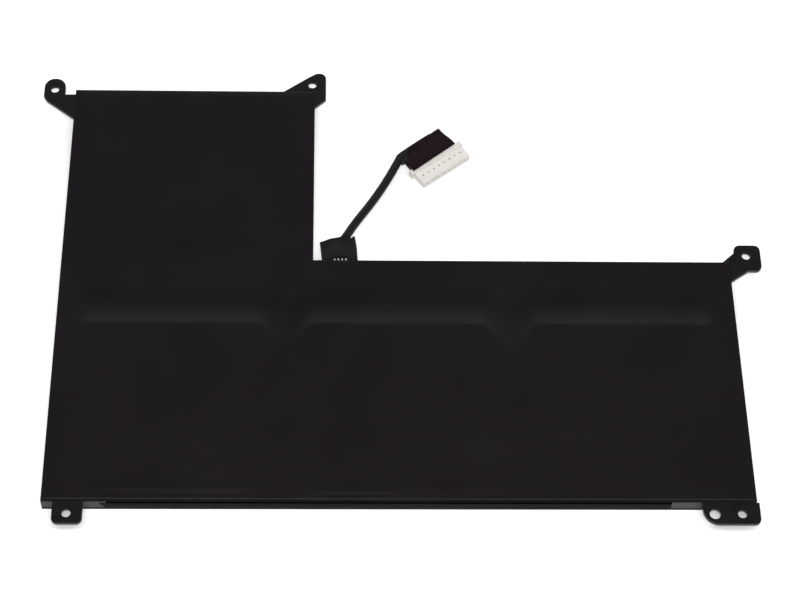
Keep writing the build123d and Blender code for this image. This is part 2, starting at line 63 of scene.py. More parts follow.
PATCH_LAYERS = 3.0
GRAIN_LAYERS = 2.0
PATTERN_IN_TONE = 0.35
TONE_SPAN = (0.35, 0.95)
ROUGHNESS_SPAN = (0.3, 0.9)
BRUSH_STRETCH = (1, 0.06, 1)
BANDS_PER_TURN = 20
THREAD_WANDER = 0.6
HAIRLINE_WIDTH = 0.012
HAIRLINE_HEIGHT = 0.25


def display(red: float, green: float, blue: float) -> Colour:
    """Turns a colour as seen on a display into the linear values that a shader takes.

    Args:
        red: Red from 0 to 255.
        green: Green from 0 to 255.
        blue: Blue from 0 to 255.

    Returns:
        The linear colour, each value from 0 to 1.
    """
    def linear(value: float) -> float:
        """One channel, by the display's own curve."""
        share = value / 255
        return share / 12.92 if share <= 0.04045 else ((share + 0.055) / 1.055) ** 2.4

    return linear(red), linear(green), linear(blue)


def ramp(value: float) -> float:
    """A smooth step from 0 to 1 while value goes from 0 to 1."""
    share = min(1.0, max(0.0, value))
    return share * share * (3 - 2 * share)


def mix(first: float, second: float, share: float) -> float:
    """The value that lies the given share of the way from first to second."""
    return first + (second - first) * share


class Pattern(Enum):
    """The small relief that a finish carries."""

    GRAIN = "grain"
    WEAVE = "weave"
    BRUSHED = "brushed"
    CREASED = "creased"


class NodeBoard:
    """Adds shader nodes to one material and joins them."""

    def __init__(self, name: str) -> None:
        """Makes an empty material with its output node.

        Args:
            name: The material's name.
        """
        self.material = bpy.data.materials.new(name)
        self.material.use_nodes = True
        self.tree = self.material.node_tree
        self.tree.nodes.clear()
        self.output = self.tree.nodes.new("ShaderNodeOutputMaterial")

    def add(self, kind: str, **inputs: float) -> bpy.types.Node:
        """Adds a node and sets its named inputs.

        Args:
            kind: The node's type, without the ShaderNode prefix.
            **inputs: Values by input name, with _ for a space.

        Returns:
            The new node.
        """
        node = self.tree.nodes.new("ShaderNode" + kind)
        for key, value in inputs.items():
            node.inputs[key.replace("_", " ")].default_value = value
        return node

    def join(self, source: bpy.types.NodeSocket, target: bpy.types.NodeSocket) -> None:
        """Links an output to an input."""
        self.tree.links.new(source, target)

    def combine(self, operation: str, *values: bpy.types.NodeSocket | float) -> bpy.types.NodeSocket:
        """Works out one value from others.

        Args:
            operation: The kind of sum.
            *values: What goes into it in order, each a socket or a number.

        Returns:
            The result.
        """
        node = self.add("Math")
        node.operation = operation
        for socket, value in zip(node.inputs, values):
            if isinstance(value, float):
                socket.default_value = value
            else:
                self.join(value, socket)
        return node.outputs[0]

    def remap(self, value: bpy.types.NodeSocket, source: Span, target: Span) -> bpy.types.NodeSocket:
        """Carries a value over from one span to another.

        Args:
            value: The value to carry over.
            source: Where its own span begins and ends.
            target: Where the new span begins and ends.

        Returns:
            The new value.
        """
        node = self.add("MapRange")
        for index, limit in enumerate((*source, *target), start=1):
            node.inputs[index].default_value = limit
        self.join(value, node.inputs["Value"])
        return node.outputs["Result"]


@dataclass(frozen=True)
class Finish:
    """One surface finish, made of nodes on Object coordinates.

    The tone drifts between dark and light in broad patches, the roughness follows the patches and
    the small pattern, and the pattern is also the relief. Sizes are millimetres.
    """

    name: str
    dark: Colour
    light: Colour
    pattern: Pattern
    pattern_size: float
    patch_size: float
    roughness: Span
    relief: float
    specular: float = 0.5
    metallic: float = 0.0
    turn: float = 0.0
    glow: float = 0.0

    def material(self) -> bpy.types.Material:
        """Builds the material.

        Returns:
            The new material.
        """
        board = NodeBoard(self.name)
        place = board.add("TexCoord").outputs["Object"]
        shader = board.add("BsdfPrincipled", Metallic=self.metallic)
        shader.inputs["Specular IOR Level"].default_value = self.specular
        shader.inputs["Emission Color"].default_value = (*self.light, 1)
        shader.inputs["Emission Strength"].default_value = self.glow
        board.join(shader.outputs["BSDF"], board.output.inputs["Surface"])

        patches = self.cloud(board, place, self.patch_size, PATCH_LAYERS)
        small = self.small_pattern(board, place)
        blend = board.combine("MULTIPLY_ADD", small, PATTERN_IN_TONE, patches)
        tone = board.add("ValToRGB")
        for stop, position, colour in zip(tone.color_ramp.elements, TONE_SPAN, (self.dark, self.light)):
            stop.position = position
            stop.color = (*colour, 1)
        board.join(blend, tone.inputs["Fac"])
        board.join(tone.outputs["Color"], shader.inputs["Base Color"])
        board.join(board.remap(blend, ROUGHNESS_SPAN, self.roughness), shader.inputs["Roughness"])

        bump = board.add("Bump", Distance=self.relief * MM)
        board.join(small, bump.inputs["Height"])
        board.join(bump.outputs["Normal"], shader.inputs["Normal"])
        return board.material

    def cloud(self, board: NodeBoard, place: bpy.types.NodeSocket, size: float,
              detail: float) -> bpy.types.NodeSocket:
        """A cloudy pattern of the given size.

        Args:
            board: The material under way.
            place: The coordinates to read.
            size: Millimetres between clouds.
            detail: How many finer layers it has.

        Returns:
            The pattern's value, from 0 to 1.
        """
        texture = board.add("TexNoise", Scale=1 / (size * MM), Detail=detail)
        board.join(place, texture.inputs["Vector"])
        return texture.outputs["Fac"]

    def small_pattern(self, board: NodeBoard, place: bpy.types.NodeSocket) -> bpy.types.NodeSocket:
        """The relief that the finish is named for.

        Args:
            board: The material under way.
            place: The coordinates to read.

        Returns:
            The relief's height, from 0 to 1.
        """
        turned = board.add("Mapping", Rotation=(0, 0, math.radians(self.turn)))
        board.join(place, turned.inputs["Vector"])
        vector = turned.outputs["Vector"]
        if self.pattern is Pattern.WEAVE:
            return self.weave(board, vector)
        if self.pattern is Pattern.BRUSHED:
            turned.inputs["Scale"].default_value = BRUSH_STRETCH
        if self.pattern is Pattern.CREASED:
            return self.creases(board, vector)
        return self.cloud(board, vector, self.pattern_size, GRAIN_LAYERS)

    def weave(self, board: NodeBoard, vector: bpy.types.NodeSocket) -> bpy.types.NodeSocket:
        """Two sets of threads at right angles, one over the other.

        Args:
            board: The material under way.
            vector: The coordinates to read.

        Returns:
            The threads' height.
        """
        threads = []
        for direction in ("X", "Y"):
            wave = board.add("TexWave", Scale=math.tau / (BANDS_PER_TURN * self.pattern_size * MM),
                             Distortion=THREAD_WANDER, Detail=1.0)
            wave.bands_direction = direction
            board.join(vector, wave.inputs["Vector"])
            threads.append(wave.outputs["Fac"])
        return board.combine("MAXIMUM", *threads)

    def creases(self, board: NodeBoard, vector: bpy.types.NodeSocket) -> bpy.types.NodeSocket:
        """Fine matt grain with a few hair-thin handling lines.

        Args:
            board: The material under way.
            vector: The coordinates to read.

        Returns:
            The relief's height.
        """
        grain = self.cloud(board, vector, self.pattern_size, GRAIN_LAYERS)
        cells = board.add("TexVoronoi", Scale=1 / (self.patch_size * MM))
        cells.feature = "DISTANCE_TO_EDGE"
        board.join(vector, cells.inputs["Vector"])
        line = board.remap(cells.outputs["Distance"], (0.0, HAIRLINE_WIDTH), (HAIRLINE_HEIGHT, 0.0))
        return board.combine("ADD", grain, line)


WRAP_FILM = Finish("wrap_film", display(25, 22, 25), display(30, 27, 30), Pattern.GRAIN, 0.35, 26.0,
                   (0.22, 0.26), 0.003, specular=0.1)
UNDER_FILM = Finish("under_film", display(23, 19, 23), display(29, 25, 29), Pattern.GRAIN, 0.35, 14.0,
                    (0.40, 0.55), 0.003, specular=0.03)
MOULDED_BLACK = Finish("moulded_black", display(21, 20, 21), display(27, 26, 27), Pattern.GRAIN, 0.25, 6.0,
                       (0.26, 0.36), 0.006, specular=0.25)
CLOTH_TAPE = Finish("cloth_tape", display(24, 14, 18), display(31, 21, 25), Pattern.WEAVE, 0.42, 4.0,
                    (0.50, 0.70), 0.02, specular=0.1, turn=37.0)
ROOT_TAPE = Finish("root_cloth_tape", display(22, 20, 21), display(30, 28, 29), Pattern.WEAVE, 0.42, 4.0,
                   (0.45, 0.65), 0.02, specular=0.1)
CABLE_WRAP = Finish("cable_wrap", display(26, 26, 26), display(34, 34, 34), Pattern.WEAVE, 0.5, 5.0,
                    (0.45, 0.60), 0.02, specular=0.15, turn=58.0)
WIRE_SLEEVE = Finish("wire_sleeve", display(13, 13, 14), display(20, 20, 21), Pattern.GRAIN, 0.3, 3.0,
                     (0.3, 0.42), 0.006)
NYLON = Finish("nylon", display(216, 213, 207), display(230, 227, 221), Pattern.GRAIN, 0.22, 3.0,
               (0.42, 0.6), 0.008, specular=0.4)
PLATED = Finish("plated_contact", display(120, 112, 92), display(178, 170, 150), Pattern.BRUSHED, 0.12, 1.5,
                (0.28, 0.45), 0.004, metallic=1.0)
POUCH = Finish("pouch_laminate", display(150, 152, 156), display(186, 188, 190), Pattern.CREASED, 0.4, 14.0,
               (0.3, 0.45), 0.01, metallic=0.9)
NICKEL = Finish("nickel_strip", display(160, 156, 148), display(200, 197, 190), Pattern.BRUSHED, 0.15, 3.0,
                (0.3, 0.45), 0.004, metallic=1.0)
BOARD_MASK = Finish("board_mask", display(10, 42, 26), display(22, 70, 42), Pattern.GRAIN, 0.3, 5.0,
                    (0.3, 0.45), 0.006)
CHIP_RESIN = Finish("chip_resin", display(24, 24, 25), display(42, 42, 44), Pattern.GRAIN, 0.15, 1.5,
                    (0.5, 0.7), 0.006)
CERAMIC = Finish("ceramic", display(120, 96, 70), display(160, 134, 104), Pattern.GRAIN, 0.15, 1.0,
                 (0.4, 0.55), 0.004)
INSULATOR = Finish("insulating_sheet", display(150, 112, 40), display(190, 150, 70), Pattern.BRUSHED, 0.4,
                   6.0, (0.25, 0.4), 0.004)
ADHESIVE = Finish("adhesive_strip", display(190, 190, 180), display(220, 220, 210), Pattern.GRAIN, 0.5, 4.0,
                  (0.5, 0.7), 0.006)
FOAM = Finish("spacer_foam", display(40, 40, 42), display(66, 66, 68), Pattern.CREASED, 0.3, 0.9,
              (0.8, 0.95), 0.05, specular=0.2)
FLOOR_PAPER = Finish("floor_paper", display(236, 236, 236), display(246, 246, 246), Pattern.GRAIN, 2.0,
                     300.0, (0.8, 0.9), 0.002, specular=0.1, glow=0.4)

NODE_FINISHES = {
    "board_tray": MOULDED_BLACK, "connector_contacts": PLATED, "cell_limb": POUCH,
    "positive_tabs": PLATED, "negative_tabs": NICKEL, "protection_board": BOARD_MASK,
    "gauge_chip": CHIP_RESIN, "guard_chip": CHIP_RESIN, "power_transistors": CHIP_RESIN,
    "sense_resistor": CERAMIC, "fuse": CERAMIC, "capacitors": CERAMIC, "thermistor": CHIP_RESIN,
    "board_insulator": INSULATOR, "adhesive_strips": ADHESIVE, "limb_spacers": FOAM,
}


@dataclass(frozen=True)
class PackPlace:
    """Where the pack's front left lower corner lies in the row frame."""

    corner: Vector

    def point(self, u: float, v: float, z: float) -> Vector:
        """A point of the pack, in metres in the row frame."""
        return self.corner + Vector((u, v, z)) * MM


def deselect_all() -> None:
    """Leaves nothing selected, in object mode."""
    bpy.ops.object.select_all(action="DESELECT")


def take_up(piece: bpy.types.Object) -> None:
    """Makes a piece the only selected and active object.

    Args:
        piece: The object to work on next.
    """
    deselect_all()
    piece.select_set(True)
    bpy.context.view_layer.objects.active = piece


def new_object(name: str, data: bpy.types.ID) -> bpy.types.Object:
    """Puts a new object into the scene.

    Args:
        name: The object's name.
        data: Its mesh, curve, light or camera.

    Returns:
        The object.
    """
    thing = bpy.data.objects.new(name, data)
    bpy.context.scene.collection.objects.link(thing)
    return thing


def join_pieces(first: bpy.types.Object, *others: bpy.types.Object) -> None:
    """Joins meshes into one.

    Args:
        first: The mesh that takes up the others.
        *others: The meshes that go into it.
    """
    take_up(first)
    for piece in others:
        piece.select_set(True)
    bpy.ops.object.join()


def start_editing(piece: bpy.types.Object, kind: str, action: str = "DESELECT") -> None:
    """Enters edit mode with nothing selected, or everything.

    Args:
        piece: The mesh to edit.
        kind: What is selected there: VERT, EDGE or FACE.
        action: SELECT to begin with everything selected.
    """
    take_up(piece)
    bpy.ops.object.mode_set(mode="EDIT")
    bpy.ops.mesh.select_mode(type=kind)
    bpy.ops.mesh.select_all(action=action)


def stop_editing() -> None:
    """Goes back to object mode."""
    bpy.ops.object.mode_set(mode="OBJECT")


def turn_outward() -> None:
    """Turns all faces of the mesh in edit mode outward, and goes back to object mode."""
    bpy.ops.mesh.select_all(action="SELECT")
    bpy.ops.mesh.normals_make_consistent(inside=False)
    stop_editing()


def pick_faces(piece: bpy.types.Object, test: Callable[[Vector, Vector], bool]) -> None:
    """Enters edit mode with the faces selected that pass a test.

    Args:
        piece: The mesh to edit.
        test: Takes a face's middle and normal, and says whether it is wanted.
    """
    start_editing(piece, "FACE")
    stop_editing()
    for face in piece.data.polygons:
        face.select = test(face.center, face.normal)
    bpy.ops.object.mode_set(mode="EDIT")


def pick_edges(piece: bpy.types.Object, test: Callable[[Vector, Vector], bool]) -> None:
    """Enters edit mode with the edges selected that pass a test.

    Args:
        piece: The mesh to edit.
        test: Takes an edge's two ends, and says whether it is wanted.
    """
    start_editing(piece, "EDGE")
    stop_editing()
    corners = piece.data.vertices
    for edge in piece.data.edges:
        first, second = edge.vertices
        edge.select = test(corners[first].co, corners[second].co)
    bpy.ops.object.mode_set(mode="EDIT")


def reshape(piece: bpy.types.Object, move: Callable[[Vector], Vector]) -> None:
    """Moves each vertex to where a function puts it.

    Args:
        piece: The mesh to shape.
        move: Takes a vertex's place and gives its new one.
    """
    places = [move(corner.co) for corner in piece.data.vertices]
    piece.data.vertices.foreach_set("co", np.array(places, np.float32).ravel())
    piece.data.update()


def apply_modifier(piece: bpy.types.Object, kind: str, **settings: object) -> None:
    """Adds a modifier and applies it.

    Args:
        piece: The object to work on.
        kind: The modifier's type.
        **settings: The modifier's values by name.
    """
    take_up(piece)
    modifier = piece.modifiers.new(kind.lower(), kind)
    for key, value in settings.items():
        setattr(modifier, key, value)
    bpy.ops.object.modifier_apply(modifier=modifier.name)


def smooth(piece: bpy.types.Object, angle: float = 60.0) -> None:
    """Shades a piece smooth, with edges sharper than the angle left crisp."""
    take_up(piece)
    bpy.ops.object.shade_smooth_by_angle(angle=math.radians(angle))


def dress(piece: bpy.types.Object, finish: Finish) -> None:
    """Gives a piece its finish, made once for all pieces that share it.

    Args:
        piece: The piece to dress.
        finish: What it is dressed in.
    """
    material = bpy.data.materials.get(finish.name) or finish.material()
    piece.data.materials.clear()
    piece.data.materials.append(material)


def hand_over(piece: bpy.types.Object, slot: str, *nodes: str) -> None:
    """Lets a finished piece ride on the pack in place of CAD nodes.

    Args:
        piece: The finished piece.
        slot: Not used.
        *nodes: The nodes that it stands for.
    """
    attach(piece, BODY)
    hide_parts(*nodes)
    log.info("%s stands for %s", piece.name, ", ".join(nodes))


def unit_block(name: str, across: int, along: int) -> bpy.types.Object:
    """A flat block from 0 to 1 each way, divided finely on its two broad faces.

    Args:
        name: The object's name.
        across: Faces along X.
        along: Faces along Y.

    Returns:
        The block, one face thick.
    """
    deselect_all()
    bpy.ops.mesh.primitive_grid_add(x_subdivisions=across, y_subdivisions=along, size=1,
                                    location=(0.5, 0.5, 0))
    block = bpy.context.object
    block.name = name
    bpy.ops.object.transform_apply(location=True, rotation=True, scale=True)
    start_editing(block, "FACE", "SELECT")
    bpy.ops.mesh.extrude_region_move(TRANSFORM_OT_translate={"value": (0, 0, 1)})
    turn_outward()
    return block


@dataclass(frozen=True)
class Crease:
    """A fold line pressed into the film: where it runs, how deep it is and how wide on either side."""

    start: Spot
    end: Spot
    depth: float
    back_width: float
    front_width: float
    end_share: float = 0.2

    def press(self, u: float, v: float) -> float:
        """How far the fold lowers the film at a point.

        Args:
            u: Place to the right.
            v: Place to the back.

        Returns:
            The depth there, fading towards the line's ends.
        """
        run = Vector(self.end) - Vector(self.start)
        rel = Vector((u, v)) - Vector(self.start)
        along = rel.dot(run) / run.length_squared
        if not 0 < along < 1:
            return 0.0
        width = self.back_width if run.cross(rel) > 0 else self.front_width
        off = (rel - run * along).length / width
        fade = ramp(along / self.end_share) * ramp((1 - along) / self.end_share)
        return self.depth * fade * math.exp(-off * off)


@dataclass
class WrapFilm:
    """A film on one broad side of the pack: the L's outline and the sheet's thickness."""

    place: PackPlace
    width: float = 242.4
    depth: float = 174.0
    row_depth: float = 97.4
    limb_width: float = 90.8
    thickness: float = 0.2
    touch: float = 0.01


@dataclass
class TopFilm(WrapFilm):
    """The wrap film over the pack's lug side: relief over the cells, creases, and skirts.

    The film lies level over the cells, sinks into a trough over the row's tabs, and comes up again
    over the board and on to the cell in the limb.
    """

    level: float = 5.65
    pad_level: float = 5.8
    board_level: float = 5.5
    trough_level: float = 4.8
    edge_run: float = 3.0
    cell_width: float = 78.0
    cell_gap: float = 1.6
    cell_side: float = 2.6
    valley_half: float = 11.0
    valley_reach: float = 9.5
    valley_shift: float = 5.0
    valley_rise: float = 0.25
    crest: float = 70.0
    crest_ease: float = 0.68
    trough: float = 79.4
    trough_back_run: float = 8.5
    trough_back_ease: float = 0.7
    trough_end: float = 5.0
    trough_end_run: float = 6.5
    limb_foot: float = 99.4
    limb_front_run: float = 5.8
    ripple: float = 0.05
    ripple_run: Span = (34.0, 26.0)
    fine_strips: tuple[Span, ...] = ((0.0, 9.0), (0.0, 9.0), (0.0, 2.0), (60.0, 86.0))
    edge_round: float = 0.3
    edge_steps: int = 3
    fold_near: float = 0.02
    skirt_rows: int = 6
    left_cut: float = 22.3
    back_left_cut: float = 1.0
    back_cut: float = 13.4
    notch_cut: float = 8.3
    right_cut: float = 9.3
    rear_cut: float = 14.0
    wires_cut: Span = (94.0, 106.9)
    near: float = 0.1
    front_reach: float = 1.9
    front_radius: float = 2.5
    front_in: float = 0.3

    def creases(self) -> list[Crease]:
        """The fold lines that show along the front of the pack.

        Returns:
            The pressed lines, then the ridges beside them.
        """
        return [
            Crease((14, 5.6), (78, 5.4), 0.36, 1.5, 1.7),
            Crease((88, 4.6), (124, 4.4), 0.36, 1.5, 1.6),
            Crease((118, 4.9), (160, 5.6), 0.2, 1.8, 2.2),
            Crease((14, 7.8), (78, 7.6), -0.06, 2.5, 0.9),
            Crease((88, 6.6), (124, 6.4), -0.06, 2.5, 0.9),
            Crease((84, 1.0), (78, 9.0), -0.08, 1.1, 1.1),
            Crease((163, 1.0), (160, 8.0), -0.05, 1.4, 1.4),
        ]

    def build(self) -> bpy.types.Object:
        """Models the film.

        Returns:
            The finished sheet with its thickness.
        """
        sheet = self.lay_panels()
        for front, back in self.fine_strips:
            self.refine(sheet, front, back)
        self.drape(sheet)
        self.drop_skirt(sheet)
        self.trim_skirt(sheet)
        apply_modifier(sheet, "SOLIDIFY", thickness=self.thickness * MM, offset=-1.0)
        reshape(sheet, lambda spot: self.place.corner + spot)
        smooth(sheet, angle=50.0)
        dress(sheet, WRAP_FILM)
        hand_over(sheet, "film", "top_film")
        return sheet

    def lay_panels(self) -> bpy.types.Object:
        """Joins three flat grids into the L, with its corner at the origin.

        Returns:
            One flat sheet at the film's lower level.
        """
        panels = []
        spans = [
            (0, self.limb_width, 0, self.row_depth),
            (self.limb_width, self.width, 0, self.row_depth),
            (0, self.limb_width, self.row_depth, self.depth),
        ]
        for left, right, front, back in spans:
            deselect_all()
            bpy.ops.mesh.primitive_grid_add(x_subdivisions=round(right - left), size=1,
                                            y_subdivisions=round(back - front))
            panel = bpy.context.object
            panel.scale = ((right - left) * MM, (back - front) * MM, 1)
            panel.location = Vector((left + right, front + back, 2 * self.level)) * MM / 2
            bpy.ops.object.transform_apply(location=True, rotation=True, scale=True)
            panels.append(panel)
        sheet = panels[0]
        join_pieces(*panels)
        sheet.name = "draped_film"
        start_editing(sheet, "VERT", "SELECT")
        bpy.ops.mesh.remove_doubles(threshold=self.touch * MM)
        stop_editing()
        return sheet

    def refine(self, sheet: bpy.types.Object, front: float, back: float) -> None:
        """Halves the faces of a strip that runs across the whole sheet.

        Args:
            sheet: The film under way.
            front: Where the strip begins.
            back: Where it ends.
        """
        def lengthwise(first: Vector, second: Vector) -> bool:
            """Whether an edge runs to the back inside the strip."""
            middle = (first.y + second.y) / 2 / MM
            return abs(first.x - second.x) < self.near * MM and front < middle < back

        pick_edges(sheet, lengthwise)
        bpy.ops.mesh.subdivide(number_cuts=1)
        stop_editing()

    def valley(self, u: float) -> float:
        """How much of a valley lies at a place.

        Args:
            u: Place to the right.

        Returns:
            1 midway between two cells of the row, and 0 over a cell.
        """
        pitch = self.cell_width + self.cell_gap
        first = self.cell_side + self.cell_width + self.cell_gap / 2
        off = min(abs(u - first), abs(u - first - pitch))
        return 1 - ramp(off / self.valley_half)

    def from_edge(self, u: float, v: float) -> float:
        """How far a point lies inside the L's outline.

        Args:
            u: Place to the right.
            v: Place to the back.

        Returns:
            The distance to the nearest side.
        """
        inside = min(u, v, self.width - u, self.depth - v)
        past_side, past_back = u - self.limb_width, v - self.row_depth
        if past_side > 0:
            return min(inside, -past_back)
        if past_back > 0:
            return min(inside, -past_side)
        return min(inside, math.hypot(past_side, past_back))

    def height(self, u: float, v: float) -> float:
        """The film's level at a point of the pack, before its skirts are folded down.

        Args:
            u: Place to the right.
            v: Place to the back.

        Returns:
            The height of the film's upper face.
        """
        ends = ramp((u - self.trough_end) / self.trough_end_run)
        ends *= ramp((self.width - self.trough_end - u) / self.trough_end_run)
        floor = mix(self.pad_level, self.trough_level, ends)
        valley = self.valley(u)
        floor += self.valley_rise * valley
        crest = self.crest - self.valley_reach * valley
        trough = self.trough - self.valley_shift * valley
        if v < trough:
            run = max(0.0, v - crest) / (trough - crest)
            level = mix(self.pad_level, floor, ramp(min(1.0, run) ** self.crest_ease))
        else:
            run = (v - trough) / self.trough_back_run
            level = mix(floor, self.board_level, ramp(min(1.0, run) ** self.trough_back_ease))
            if u < self.limb_width:
                level = mix(level, self.pad_level, ramp((v - self.limb_foot) / self.limb_front_run))
        for crease in self.creases():
            level -= crease.press(u, v)
        level += self.ripple * noise.noise(Vector((u / self.ripple_run[0], v / self.ripple_run[1], 0.0)))
        past = max(0.0, self.front_reach - v)
        fold = self.front_radius - math.sqrt(self.front_radius ** 2 - past * past)
        return mix(self.level, level, ramp(self.from_edge(u, v) / self.edge_run)) - fold

    def drape(self, sheet: bpy.types.Object) -> None:
        """Lays the sheet over the cells.

        Args:
            sheet: The film under way.
        """
        def lower(spot: Vector) -> Vector:
            """Puts one point of the sheet at its level, drawn in along the front.

            Args:
                spot: The point on the flat sheet.

            Returns:
                Its new place.
            """
            u, v = spot.x / MM, spot.y / MM
            inward = self.front_in * (1 - ramp(v / self.front_reach))
            return Vector((u, v + inward, self.height(u, v))) * MM

        reshape(sheet, lower)

    def drop_skirt(self, sheet: bpy.types.Object) -> None:
        """Folds the sheet's border down the pack's sides, over a rounded edge.

        Args:
            sheet: The film under way.
        """
        start_editing(sheet, "EDGE", "SELECT")
        bpy.ops.mesh.region_to_loop()
        drop = (self.level - self.thickness) * MM / self.skirt_rows
        for _ in range(self.skirt_rows):
            bpy.ops.mesh.extrude_edges_move(TRANSFORM_OT_translate={"value": (0, 0, -drop)})
        stop_editing()
        foot = self.thickness * MM
        reshape(sheet, lambda spot: Vector((spot.x, spot.y, max(spot.z, foot))))
        top = self.level * MM
        close = self.fold_near * MM

        def on_fold(first: Vector, second: Vector) -> bool:
            """Whether an edge lies on the fold between sheet and skirt.

            Args:
                first: The edge's one end.
                second: Its other end.

            Returns:
                True on the fold.
            """
            level = abs(first.z - top) < close and abs(second.z - top) < close
            spots = (first, second, (first + second) / 2)
            return level and all(self.on_outline(spot) for spot in spots)

        pick_edges(sheet, on_fold)
        bpy.ops.mesh.bevel(offset=self.edge_round * MM, segments=self.edge_steps, affect="EDGES")
        turn_outward()

    def on_outline(self, spot: Vector) -> bool:
        """Whether a point lies on the L's outline, seen from above.

        Args:
            spot: The point, in metres from the pack's corner.

        Returns:
            True on the outline.
        """
        u, v = spot.x / MM, spot.y / MM
        near = self.fold_near
        sides = abs(u) < near or abs(v) < near or abs(u - self.width) < near or abs(v - self.depth) < near
        notch_side = abs(u - self.limb_width) < near and v > self.row_depth - near
        notch_back = abs(v - self.row_depth) < near and u > self.limb_width - near
        return sides or notch_side or notch_back

    def trim_skirt(self, sheet: bpy.types.Object) -> None:
        """Cuts the skirt away at the lugs, at the wires and along the front.

        Args:
            sheet: The film under way.
        """
        fold = (self.level - self.edge_round) * MM
        steep = 0.5

        def cut(middle: Vector, normal: Vector) -> bool:
            """Whether a face of the skirt is cut away.

            Args:
                middle: The face's middle.
                normal: Where the face looks.

            Returns:
                True where it is cut away.
            """
            u, v = middle.x / MM, middle.y / MM
            if middle.z > fold or abs(normal.z) > steep:
                return False
            front = v < self.front_in + self.near and abs(normal.y) > steep
            left = u < self.near and v > self.depth - self.left_cut
            outer = u < self.back_left_cut or u > self.limb_width - self.back_cut
            back = v > self.depth - self.near and outer
            notch = abs(u - self.limb_width) < self.near and v > self.depth - self.notch_cut
            right = u > self.width - self.near and v > self.row_depth - self.right_cut
            wires = self.wires_cut[0] < u < self.wires_cut[1]
            rear = abs(v - self.row_depth) < self.near and (u > self.width - self.rear_cut or wires)
            return front or left or back or notch or right or rear

        pick_faces(sheet, cut)
        bpy.ops.mesh.delete(type="FACE")
        stop_editing()


@dataclass
class BottomFilm(WrapFilm):
    """The wrap film under the pack, with the flap that is turned up along the front."""

    flap_left: float = 22.3
    flap_slant: float = 2.7
    flap_right: float = 213.4
    flap_top: float = 4.0
    flap_rows: int = 12
    flap_lean: float = 0.15
    flap_foot: float = 0.7
    ripple: float = 0.08
    ripple_fade: float = 1.2
    broad_ripple: tuple[float, float, float] = (17.0, 1.6, 4.0)
    fine_ripple: tuple[float, float, float] = (6.0, 0.9, 9.0)
    fine_share: float = 0.5

    def build(self) -> bpy.types.Object:
        """Models the film.

        Returns:
            The flat L with its rippled flap.
        """
        deselect_all()
        bpy.ops.mesh.primitive_grid_add(x_subdivisions=round(self.flap_right - self.flap_left), size=1,
                                        y_subdivisions=self.flap_rows)
        flap = bpy.context.object
        flap.name = "under_film"
        reshape(flap, self.flap_spot)
        apply_modifier(flap, "SOLIDIFY", thickness=self.thickness * MM, offset=1.0)
        self.add_floor(flap)
        reshape(flap, lambda spot: self.place.corner + spot)
        smooth(flap, angle=40.0)
        dress(flap, UNDER_FILM)
        hand_over(flap, "film", "bottom_film")
        return flap

    def flap_spot(self, spot: Vector) -> Vector:
        """A point of the flat grid, stood up along the front and rippled.

        Args:
            spot: The grid's point, from -0.5 to 0.5 each way.

        Returns:
            The point on the pack's front wall.
        """
        left = self.flap_left - self.flap_slant * (spot.y + 0.5)
        u = mix(left, self.flap_right, spot.x + 0.5)
        z = mix(self.thickness, self.flap_top, spot.y + 0.5)
        broad, fine = (noise.noise(Vector((u / wide, z / high, layer)))
                       for wide, high, layer in (self.broad_ripple, self.fine_ripple))
        wave = broad + self.fine_share * fine
        fade = ramp((z - self.thickness) / self.ripple_fade)
        rise = max(0.0, z - self.flap_foot) / (self.flap_top - self.flap_foot)
        lean = self.flap_lean * rise * rise
        return Vector((u, self.thickness + lean - self.ripple * (1 + wave) * fade, z)) * MM

    def add_floor(self, flap: bpy.types.Object) -> None:
        """Joins the flat L to the flap: a plane, drawn out by extruding its edges, and given thickness.

        Args:
            flap: The flap, which takes up the L.
        """
        deselect_all()
        bpy.ops.mesh.primitive_plane_add(size=1)
        floor = bpy.context.object
        floor.scale = (self.limb_width * MM, self.row_depth * MM, 1)
        floor.location = Vector((self.limb_width, self.row_depth, 2 * self.thickness)) * MM / 2
        bpy.ops.object.transform_apply(location=True, rotation=True, scale=True)
        near = self.touch * MM
        pick_edges(floor, lambda a, b: min(a.x, b.x) > self.limb_width * MM - near)
        reach = (self.width - self.limb_width) * MM
        bpy.ops.mesh.extrude_edges_move(TRANSFORM_OT_translate={"value": (reach, 0, 0)})
        stop_editing()
        back = self.row_depth * MM - near
        pick_edges(floor, lambda a, b: min(a.y, b.y) > back and max(a.x, b.x) < self.limb_width * MM + near)
        reach = (self.depth - self.row_depth) * MM
        bpy.ops.mesh.extrude_edges_move(TRANSFORM_OT_translate={"value": (0, reach, 0)})
        turn_outward()
        apply_modifier(floor, "SOLIDIFY", thickness=self.thickness * MM, offset=-1.0)
        join_pieces(flap, floor)


@dataclass
class RoundedCopy:
    """A CAD node's form with its sharp edges softened, as a mould leaves them."""

    node: str
    name: str
    slot: str
    finish: Finish
    edge: float = 0.18
    merge: float = 0.002
    flat_angle: float = 1.0
    sharp_angle: float = 40.0

    def build(self) -> bpy.types.Object:
        """Copies the node, cleans its triangles and bevels its edges.

        Returns:
            The softened copy.
        """
        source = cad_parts[self.node]
        copy = new_object(self.name, source.data.copy())
        start_editing(copy, "VERT", "SELECT")
        bpy.ops.mesh.remove_doubles(threshold=self.merge * MM)
        bpy.ops.mesh.dissolve_limited(angle_limit=math.radians(self.flat_angle))
        stop_editing()
        self.shape(copy)
        apply_modifier(copy, "BEVEL", width=self.edge * MM, segments=2, limit_method="ANGLE",
                       angle_limit=math.radians(self.sharp_angle), use_clamp_overlap=True)
        smooth(copy)
        apply_modifier(copy, "WEIGHTED_NORMAL", weight=100, keep_sharp=True)
        dress(copy, self.finish)
        hand_over(copy, self.slot, self.node)
        return copy

    def shape(self, copy: bpy.types.Object) -> None:
        """Changes the cleaned copy before its edges are softened; a plain copy keeps its form.

        Args:
            copy: The cleaned copy.
        """


